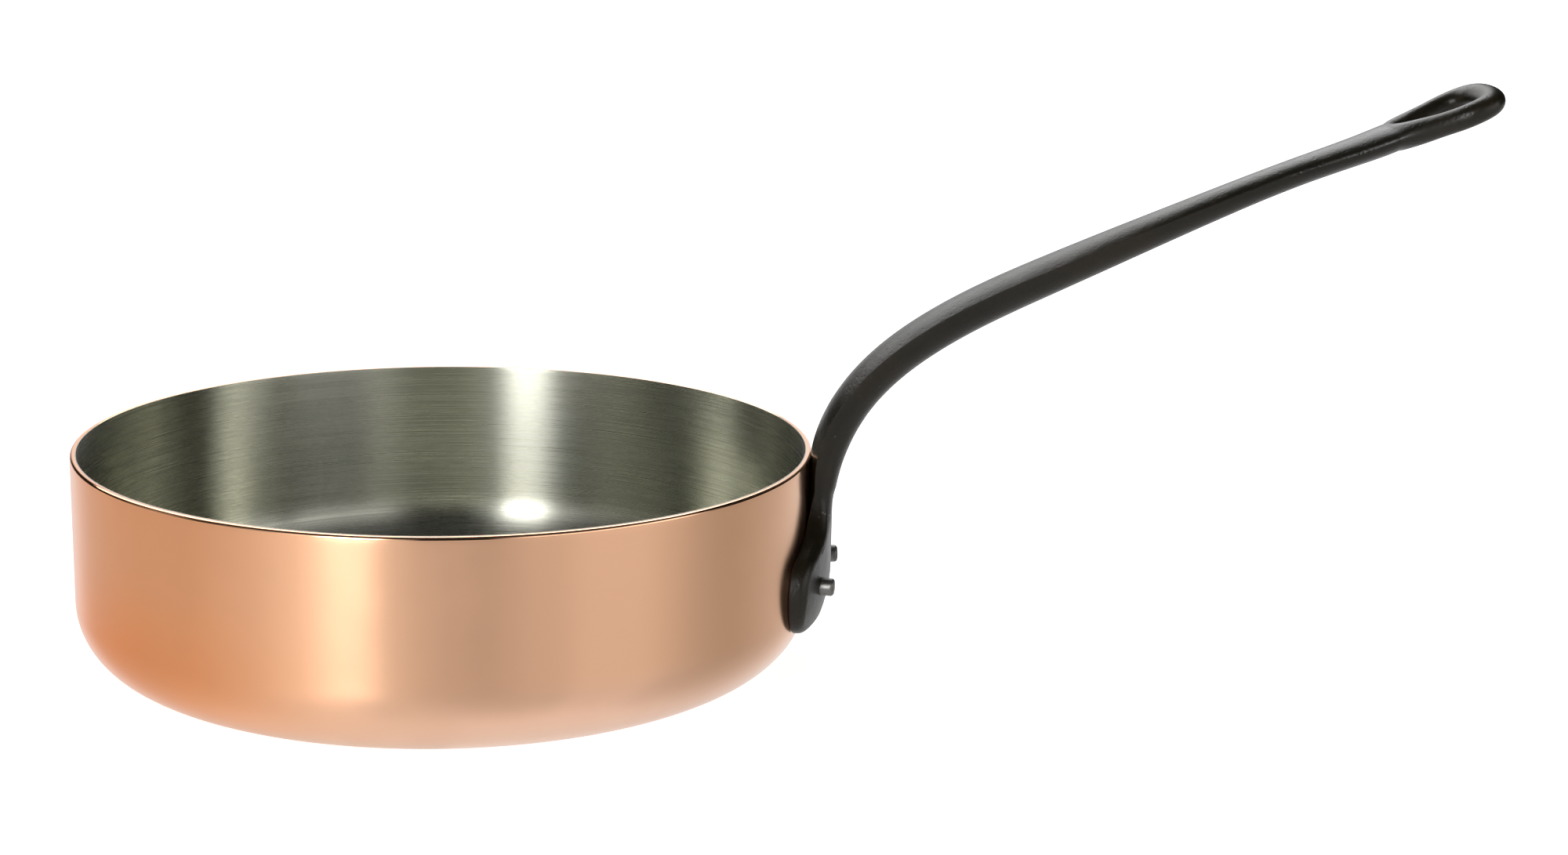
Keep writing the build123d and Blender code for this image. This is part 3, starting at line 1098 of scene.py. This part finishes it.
    def spine_frame(self, s: np.ndarray) -> tuple[np.ndarray, np.ndarray]:
        """Centre and tangent of the spine.

        Beyond its end it is straight, apart from the loop's dip, which is an
        eased ramp down and another back up. The tangent is the difference of
        two points 0.1 mm apart.

        Args:
            s: Lengths along the spine.

        Returns:
            Rows of centres and rows of unit tangents.
        """
        inside = np.minimum(s, self.knots[-1])
        beyond = np.maximum(s - self.knots[-1], 0)
        dip = self.loop_dip * smoothstep(0, 9, beyond) * (1 - smoothstep(18, 30, beyond))
        normal = np.array([-self.along[1], self.along[0]])
        centre = self.spine(inside) + beyond[:, None] * self.along
        centre -= dip[:, None] * normal
        step = 0.05
        ahead = self.spine(np.minimum(inside + step, self.knots[-1]))
        behind = self.spine(np.maximum(inside - step, 0))
        tangent = ahead - behind
        return centre, tangent / np.linalg.norm(tangent, axis=1, keepdims=True)

    def place(self, s: np.ndarray, y: np.ndarray, h: np.ndarray) -> np.ndarray:
        """Points at spine length s, sideways y, and h above the spine."""
        centre, tangent = self.spine_frame(s.ravel())
        x = centre[:, 0] - tangent[:, 1] * h.ravel()
        z = centre[:, 1] + tangent[:, 0] * h.ravel()
        return np.stack([x, y.ravel(), z], axis=-1).reshape(*s.shape, 3)

    def length_at_level(self, z: np.ndarray) -> np.ndarray:
        """Spine length where the centre line has height z, on the neck."""
        s = np.linspace(0, self.knots[4], 600)
        return np.interp(z, self.spine(s)[:, 1], s)

    def grip_rows(self) -> np.ndarray:
        """Rings from above the plate to where the ridge divides."""
        start = self.length_at_level(np.array([self.blend_high]))[0]
        end = self.knots[-1]
        s = np.linspace(start, end, int((end - start) / self.grip_step))
        values = self.shape(s)
        y, h = self.half_section(*values.T)
        return self.place(np.repeat(s[:, None], y.shape[1], axis=1), y, h)

    # ---- plate
    def plate_face(self, y: np.ndarray, z: np.ndarray) -> np.ndarray:
        """How far out the plate's front is.

        It is a cylinder about an upright axis whose radius shrinks along a
        circle below the heel line.

        Args:
            y: Sideways coordinates.
            z: Heights.

        Returns:
            Coordinates outwards.
        """
        edge_radius = self.wall + self.plate_side
        edge = math.sqrt(edge_radius**2 - self.plate_half_width**2)
        drop = self.wall + self.plate_centre - edge
        radius = (self.plate_half_width**2 + drop**2) / (2 * drop)
        below = np.clip(self.heel_level - z, 0, self.heel_radius - 1)
        heel = self.heel_radius - np.sqrt(self.heel_radius**2 - below**2)
        return self.wall + self.plate_centre - radius + np.sqrt((radius - heel) ** 2 - y**2)

    def plate_outline(self) -> np.ndarray:
        """Half outline from the neck down to the middle of the lower edge."""
        t = np.linspace(0, 1, 90)
        top, bottom = self.plate_curves[0][0], self.plate_curves[-1][-1]
        line = np.vstack([
            [(top[0], self.blend_high), top],
            *(cubic(points, t) for points in self.plate_curves),
            [bottom, (0.0, bottom[1])],
        ])
        moved = np.diff(running_length(line)) > 1e-9
        line = line[np.concatenate([[True], moved])]
        length = running_length(line)
        at = np.linspace(0, length[-1], 128)
        return np.stack([np.interp(at, length, values) for values in line.T], axis=-1)

    def plate_rows(self) -> np.ndarray:
        """Rows that fan over the plate from the lower edge up to the neck.

        A row runs from the axis over the back to the outline, out along the
        side, round the edge and over the front back to the axis. Between the
        two blend levels it passes into the neck's own section.
        """
        outline = self.plate_outline()
        share = np.linspace(0, 1, len(outline))
        levels = (self.blend_high, *self.fan_levels)
        axis_level = np.interp(share, self.fan_shares, levels)
        direction = np.gradient(outline, axis=0)
        direction /= np.linalg.norm(direction, axis=1, keepdims=True)
        inward = np.stack([direction[:, 1], -direction[:, 0]], axis=-1)
        centre = np.stack([np.zeros(len(outline)), axis_level], axis=-1)
        toward = centre - outline
        inward *= np.sign(np.sum(inward * toward, axis=1))[:, None]
        inward[-1] = (0, 1)
        y0, z0 = outline.T
        ny, nz = inward.T
        edge = self.plate_edge
        probe = 0.05
        fy, fz = y0 + ny * edge, z0 + nz * edge
        further = self.plate_face(fy + ny * probe, fz + nz * probe)
        beta = np.arctan((further - self.plate_face(fy, fz)) / probe)
        inset = edge * (1 - np.sin(beta))
        fy, fz = y0 + ny * inset, z0 + nz * inset
        round_x = self.plate_face(fy, fz) - edge * np.cos(beta)
        clearance = self.wall + CLEARANCE

        back = crowded(self.top_columns, TOP_CROWDING)[None, :]
        plan_y = back * y0[:, None]
        plan_z = axis_level[:, None] * (1 - back) + back * z0[:, None]
        back_rows = np.stack([np.sqrt(clearance**2 - plan_y**2), plan_y, plan_z], axis=-1)

        side_count, round_count = 5, 11
        face_count = self.belly_columns - 1 - side_count - round_count
        t = np.linspace(0, 1, side_count + 1)[1:][None, :]
        start = np.sqrt(clearance**2 - y0**2)[:, None]
        side_x = start + t * (round_x[:, None] - start)
        side_rows = np.stack(
            [side_x, side_x * 0 + y0[:, None], side_x * 0 + z0[:, None]], axis=-1
        )
        psi = np.linspace(0, 1, round_count + 1)[1:][None, :] * (np.pi / 2 - beta)[:, None]
        step_in = edge * (1 - np.cos(psi))
        round_rows = np.stack(
            [
                round_x[:, None] + edge * np.sin(psi),
                y0[:, None] + ny[:, None] * step_in,
                z0[:, None] + nz[:, None] * step_in,
            ],
            axis=-1,
        )
        t = np.linspace(0, 1, face_count + 1)[1:][None, :]
        face_y = fy[:, None] * (1 - t)
        face_z = fz[:, None] * (1 - t) + axis_level[:, None] * t
        face_rows = np.stack([self.plate_face(face_y, face_z), face_y, face_z], axis=-1)
        plate = np.concatenate([back_rows, side_rows, round_rows, face_rows], axis=1)

        level = np.clip(axis_level, self.blend_low - 4, self.blend_high)
        s = self.length_at_level(level)
        values = self.shape(s)
        y, h = self.half_section(y0, *values.T[1:])
        neck = self.place(np.repeat(s[:, None], y.shape[1], axis=1), y, h)
        weight = smoothstep(self.blend_low, self.blend_high - 1.0, z0)[:, None, None]
        rows = plate * (1 - weight) + neck * weight
        return rows[::-1]

    # ---- loop
    def loop_lines(self) -> tuple[np.ndarray, np.ndarray, np.ndarray]:
        """Ridge, outer edge and eye edge of half the loop, in the loop's plane.

        Both edges are two cubics: from the root to where the loop is widest,
        and on to the tip. The ridge is midway between them, and near the root
        it eases in from the middle: its share is 3t^2 - 2t^3 outwards and
        t(2 - t) sideways.
        """
        front = np.linspace(0, 1, 46)
        rear = np.linspace(0, 1, 34)[1:]
        outer = np.vstack([
            cubic([(self.split, self.loop_shoulder), *self.loop_front], front),
            cubic(self.loop_rear, rear),
        ])
        eye = np.vstack([cubic(self.eye_front, front), cubic(self.eye_rear, rear)])
        middle = (outer + eye) / 2
        ease = np.clip(np.concatenate([front, rear + 1]) / self.ridge_parts, 0, 1)
        ridge = np.stack([
            self.split + (middle[:, 0] - self.split) * smoothstep(0, 1, ease),
            middle[:, 1] * ease * (2 - ease),
        ], axis=-1)
        return ridge, outer, eye

    def ring_rows(self, ridge: np.ndarray, edge: np.ndarray) -> np.ndarray:
        """Half rings of the bar between its ridge and one of its edges.

        Args:
            ridge: Points of the ridge in the loop's plane.
            edge: Points of the edge, one for each.

        Returns:
            Array of rings by columns by three.
        """
        width = np.linalg.norm(edge - ridge, axis=1)
        share = np.linspace(0, 1, len(ridge))
        thinning = smoothstep(0.0, 0.4, share)
        thinner = self.bar_thickness - self.split_thickness
        thickness = self.split_thickness + thinner * thinning
        y, h = self.half_section(width, thickness, thickness / 2, np.ones(len(ridge)))
        unit = (edge - ridge) / width[:, None]
        s = self.knots[-1] - self.split + ridge[:, :1] + unit[:, :1] * y
        across = ridge[:, 1:] + unit[:, 1:] * y
        return self.place(s, across, h)

    def keep_off_wall(self, points: np.ndarray) -> np.ndarray:
        """Pushes what is below the rim out to the copper's surface."""
        x, y, z = points.T.copy()
        radius = np.hypot(x, y)
        wanted = self.wall + CLEARANCE
        inside = (z < self.rim - 0.2) & (radius < wanted)
        push = np.where(inside, wanted / np.maximum(radius, 1e-6), 1.0)
        return np.stack([x * push, y * push, z], axis=-1)

    def build(self, finish: bpy.types.Material) -> None:
        """Makes the casting and puts it in place of its CAD node.

        Args:
            finish: Its material.
        """
        self.make_spine()
        ridge, outer, eye = self.loop_lines()
        sheet = np.concatenate(
            [self.plate_rows(), self.grip_rows()[1:], self.ring_rows(ridge, outer)[1:]]
        )
        lining = self.ring_rows(ridge, eye)
        shell = Shell()
        for rows, flip in ((sheet, False), (lining, True)):
            flat = rows.reshape(-1, 3).copy()
            flat[np.abs(flat[:, 1]) < 1e-5, 1] = 0.0
            flat = self.keep_off_wall(flat)
            for mirror in (1, -1):
                side = flat * (1, mirror, 1)
                shell.add_grid(side.reshape(rows.shape), flip=flip != (mirror < 0))
        points, faces = shell.welded()
        obj = make_object("cast_handle", points, faces, finish)
        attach(obj, "root")
        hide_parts("cast_iron_handle")


# ------------------------------------------------------------------- studio
@dataclass(frozen=True)
class TentBand:
    """Brightness of the light tent in one direction, as a colour."""

    azimuth: float              # degrees from the handle's direction
    colour: tuple


@dataclass
class Studio:
    """White floor and world, a light tent that only reflections and light
    see, and the camera."""

    eye: tuple = (0.1408, -0.7984, 0.2629)
    yaw: float = -2.152
    pitch: float = -13.041
    roll: float = -1.374
    lens: float = 57.57
    tent_radius: float = 2.4
    tent_low: float = -4.2
    tent_high: float = 2.6
    fade_start: float = -0.7
    glare_end: float = -2.4     # the bright strip has faded to the plain level here
    plain_level: float = 0.86
    white_half_turn: float = 20.0
    upper_blend: tuple = (-0.06, 0.20)
    dark_blend: tuple = (1.2, 1.8)
    dark_share: float = 0.08
    ground: tuple = (0.90, 0.88, 0.87)
    roof: tuple = (0.05, 0.05, 0.05)
    back_azimuth: float = 112.0
    back_elevation: float = 46.0
    back_distance: float = 1.9
    back_size: tuple = (1.15, 0.62)
    back_glow: float = 3.4
    floor_white: float = 0.80
    floor_glow: float = 0.80
    floor_radius: float = 9.0
    floor_level: float = -0.0004

    def bands(self) -> list[TentBand]:
        """The tent from behind the pan round the left, the front and the right.

        It is white behind, brightest at the left front near azimuth 241 and
        dimmest beside the handle.
        """
        return [
            TentBand(100, (1.00, 1.00, 1.00)),
            TentBand(128, (0.92, 0.90, 0.92)),
            TentBand(146, (0.72, 0.66, 0.62)),
            TentBand(175, (0.69, 0.62, 0.55)),
            TentBand(200, (0.72, 0.64, 0.56)),
            TentBand(222, (0.82, 0.77, 0.73)),
            TentBand(229, (0.90, 0.87, 0.84)),
            TentBand(235, (0.96, 0.94, 0.92)),
            TentBand(241, (1.04, 1.03, 1.04)),
            TentBand(247, (0.90, 0.90, 0.91)),
            TentBand(253, (0.72, 0.72, 0.73)),
            TentBand(259, (0.68, 0.68, 0.69)),
            TentBand(268, (0.74, 0.74, 0.75)),
            TentBand(290, (0.60, 0.60, 0.61)),
            TentBand(312, (0.60, 0.60, 0.61)),
            TentBand(321, (0.71, 0.71, 0.73)),
            TentBand(340, (0.71, 0.71, 0.72)),
            TentBand(350, (0.57, 0.57, 0.57)),
            TentBand(360, (0.49, 0.49, 0.48)),
            TentBand(378, (0.49, 0.48, 0.46)),
            TentBand(400, (0.62, 0.62, 0.62)),
            TentBand(424, (0.90, 0.90, 0.90)),
            TentBand(440, (1.00, 1.00, 1.00)),
        ]

    def upper_bands(self) -> list[TentBand]:
        """The tent's upper part, which the lining mirrors: mostly dark, with a
        narrow strip of strength 11 at the left front, a paler stretch at the
        right and white behind."""
        levels = (
            (100, 1.00), (114, 1.00), (126, 0.02), (158, 0.00), (169, 0.05), (178, 0.22),
            (187, 0.34), (203, 0.04), (228, 0.54), (241, 1.60), (248, 11.0), (256, 11.0),
            (262, 1.20), (272, 0.03), (292, 0.03), (305, 1.30), (334, 1.40), (345, 1.60),
            (354, 1.55), (364, 0.30), (373, 0.00), (428, 0.02), (439, 1.00), (440, 1.00),
        )
        return [TentBand(azimuth, (level,) * 3) for azimuth, level in levels]

    @staticmethod
    def paint(bands: list[TentBand], azimuths: np.ndarray) -> np.ndarray:
        """Colours at the azimuths, in straight runs from band to band."""
        at = [band.azimuth for band in bands]
        channels = zip(*(band.colour for band in bands))
        return np.stack([np.interp(azimuths, at, channel) for channel in channels], axis=-1)

    def add_tent(self) -> None:
        """Upright card wall with the bands' colours on its points, a pale card
        below and a dark one above.

        The wall passes from the lower to the upper bands over upper_blend, and
        above dark_blend all but the part behind fades to dark_share of itself.
        """
        bands = self.bands()
        fine = np.arange(bands[0].azimuth, bands[-1].azimuth + 0.5, 1.0)
        colours = self.paint(bands, fine)
        upper = self.paint(self.upper_bands(), fine)
        turn = np.radians(fine)
        levels = np.linspace(self.tent_low, self.tent_high, 48)
        fade = smoothstep(self.fade_start, self.tent_low, levels)[:, None, None]
        ring = self.tent_radius * np.stack([np.cos(turn), np.sin(turn)], axis=-1)
        grid = np.empty((len(levels), len(ring), 3))
        grid[..., :2] = ring
        grid[..., 2] = levels[:, None]
        above = smoothstep(*self.upper_blend, levels)[:, None, None]
        glare = np.maximum(colours - self.plain_level, 0)
        glare_fade = smoothstep(self.fade_start, self.glare_end, levels)[:, None, None]
        paint = (colours - glare * glare_fade) * (1 - fade) + np.array(self.ground) * fade
        turned = np.abs((fine - self.back_azimuth + 180) % 360 - 180)
        behind = turned < self.white_half_turn
        height_fade = smoothstep(*self.dark_blend, levels)[:, None, None] * ~behind[:, None]
        paint = paint * (1 - above) + upper * above * (1 - (1 - self.dark_share) * height_fade)
        i = np.arange(grid.shape[0] * grid.shape[1]).reshape(grid.shape[:2])
        faces = np.stack([i[:-1, :-1], i[:-1, 1:], i[1:, 1:], i[1:, :-1]], axis=-1)
        mesh = bpy.data.meshes.new("light_tent")
        mesh.from_pydata(grid.reshape(-1, 3).tolist(), [], faces.reshape(-1, 4).tolist())
        layer = mesh.color_attributes.new("brightness", "FLOAT_COLOR", "POINT")
        rgba = np.concatenate([paint, np.ones((*paint.shape[:2], 1))], axis=-1)
        layer.data.foreach_set("color", rgba.astype(np.float32).ravel())
        self._add_card("light_tent", mesh, "tent_card", None)
        for name, level, card, colour in (
            ("tent_ground", self.tent_low, "ground_card", self.ground),
            ("tent_roof", self.tent_high, "roof_card", self.roof),
        ):
            self._add_card(name, self._disc(name, self.tent_radius, level), card, colour)

    def add_back_softbox(self) -> None:
        """Oblong softbox high behind the pan, which lights the tops of things."""
        a, e = math.radians(self.back_azimuth), math.radians(self.back_elevation)
        out = Vector((math.cos(a) * math.cos(e), math.sin(a) * math.cos(e), math.sin(e)))
        across = Vector((-math.sin(a), math.cos(a), 0))
        up = out.cross(across)
        half_wide, half_high = self.back_size
        centre = out * self.back_distance
        corners = [
            centre + across * x * half_wide + up * y * half_high
            for x, y in ((-1, -1), (1, -1), (1, 1), (-1, 1))
        ]
        mesh = bpy.data.meshes.new("back_softbox")
        mesh.from_pydata([tuple(c) for c in corners], [], [[0, 1, 2, 3]])
        self._add_card("back_softbox", mesh, "back_card", (self.back_glow,) * 3)

    @staticmethod
    def _disc(name: str, radius: float, level: float, sides: int = 96) -> bpy.types.Mesh:
        """Flat many-sided disc about Z at a level."""
        turn = np.arange(sides) * 2 * np.pi / sides
        points = np.stack(
            [radius * np.cos(turn), radius * np.sin(turn), np.full(sides, level)], axis=-1
        )
        mesh = bpy.data.meshes.new(name)
        mesh.from_pydata(points.tolist(), [], [list(range(sides))])
        return mesh

    @staticmethod
    def _link(
        name: str, mesh: bpy.types.Mesh, material: bpy.types.Material
    ) -> bpy.types.Object:
        """Puts a mesh in the scene as part of the stage."""
        mesh.materials.append(material)
        obj = bpy.data.objects.new(name, mesh)
        bpy.context.scene.collection.objects.link(obj)
        obj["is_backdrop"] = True
        return obj

    def _add_card(
        self, name: str, mesh: bpy.types.Mesh, card: str, colour: tuple | None
    ) -> None:
        """Links a glowing card that the camera doesn't see and that casts no shadow.

        Args:
            name: The object's name.
            mesh: Its shape.
            card: The material's name.
            colour: Its glow, or None for the mesh's own brightness.
        """
        obj = self._link(name, mesh, self._card_material(card, colour))
        obj.visible_camera = False
        obj.visible_shadow = False

    @staticmethod
    def _card_material(name: str, colour: tuple | None) -> bpy.types.Material:
        """Glowing card, one colour or the mesh's own brightness."""
        material = bpy.data.materials.new(name)
        material.use_nodes = True
        s = NodeSheet(material.node_tree)
        glow = s.add("ShaderNodeEmission", Strength=1.0)
        if colour is None:
            paint = s.add("ShaderNodeAttribute", {"attribute_name": "brightness"})
            s.set(glow, "Color", paint.outputs["Color"])
        else:
            s.set(glow, "Color", (*colour, 1.0))
        s.add("ShaderNodeOutputMaterial", Surface=glow.outputs[0])
        return material

    def add_floor(self) -> None:
        """White floor: a diffuse sheet that keeps the shadow, lifted to white
        for the rays that show the background. Glossy rays pass it by, so that
        the metal mirrors the tent's lower part."""
        material = bpy.data.materials.new("white_floor")
        material.use_nodes = True
        s = NodeSheet(material.node_tree)
        paths = s.add("ShaderNodeLightPath")
        seen = paths.outputs[Ray.CAMERA.value]
        for ray in (Ray.GLOSSY, Ray.TRANSMISSION):
            seen = s.math("MAXIMUM", seen, paths.outputs[ray.value])
        matt = s.add("ShaderNodeBsdfDiffuse", Color=(*(self.floor_white,) * 3, 1.0))
        glow = s.add("ShaderNodeEmission", Strength=s.math("MULTIPLY", seen, self.floor_glow))
        both = s.add("ShaderNodeAddShader")
        s.set(both, 0, matt.outputs[0])
        s.set(both, 1, glow.outputs[0])
        s.add("ShaderNodeOutputMaterial", Surface=both.outputs[0])
        disc = self._disc("floor", self.floor_radius, self.floor_level)
        floor = self._link("floor", disc, material)
        floor.visible_glossy = False

    def add_world(self) -> None:
        """Plain white world."""
        world = bpy.data.worlds.new("white_room")
        world.use_nodes = True
        s = NodeSheet(world.node_tree)
        light = s.add("ShaderNodeBackground", Color=(1.0, 1.0, 1.0, 1.0), Strength=1.0)
        s.add("ShaderNodeOutputWorld", Surface=light.outputs[0])
        bpy.context.scene.world = world

    def add_camera(self) -> None:
        """Camera from yaw, pitch and roll, with no shift."""
        yaw, pitch, roll = (math.radians(a) for a in (self.yaw, self.pitch, self.roll))
        forward = Vector((
            math.sin(yaw) * math.cos(pitch), math.cos(yaw) * math.cos(pitch), math.sin(pitch)
        ))
        level = Vector((math.cos(yaw), -math.sin(yaw), 0))
        down = forward.cross(level)
        right = math.cos(roll) * level + math.sin(roll) * down
        low = -math.sin(roll) * level + math.cos(roll) * down
        axes = Matrix((right, -low, -forward)).transposed().to_4x4()
        data = bpy.data.cameras.new("camera")
        data.lens = self.lens
        data.sensor_width = 36.0
        data.clip_start = 0.01
        data.clip_end = 50.0
        camera = bpy.data.objects.new("camera", data)
        camera.matrix_world = Matrix.Translation(self.eye) @ axes
        bpy.context.scene.collection.objects.link(camera)
        bpy.context.scene.camera = camera

    def build(self) -> None:
        """Everything round the pan."""
        bpy.context.scene.view_settings.view_transform = "Standard"
        self.add_world()
        self.add_tent()
        self.add_back_softbox()
        self.add_floor()
        self.add_camera()


# --------------------------------------------------------------------- main
def write_size() -> None:
    """Writes the bounds before and after, one line each."""
    lines = []
    for label, (low, high) in (("cad", REST_BOUNDS), ("visual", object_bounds())):
        lines.append(json.dumps({label: [[round(v, 6) for v in low], [round(v, 6) for v in high]]}))
    for line in lines:
        log.info(line)


def main() -> None:
    """Builds the finishes, the pan, the handle and the studio."""
    effects = Effects()
    copper, steel, iron, rivet_steel = (
        finish.build(effects)
        for finish in (
            PolishedCopper("polished_copper", (0.95, 0.55, 0.34), 0.23, 1.0),
            BrushedSteel("brushed_steel", (0.58, 0.58, 0.50), 0.25, 1.0),
            CastIron("black_cast_iron", (0.0085, 0.0078, 0.0045), 0.36, 0.0),
            DullSteel("dull_rivet_steel", (0.24, 0.237, 0.225), 0.42, 1.0),
        )
    )
    Vessel().build(copper, steel)
    Handle().build(iron)
    Rivet("left_rivet", "rivet_left", 1, 3).build(rivet_steel)
    Rivet("right_rivet", "rivet_right", -1, 8).build(rivet_steel)
    Studio().build()
    write_size()


if __name__ == "__main__":
    main()
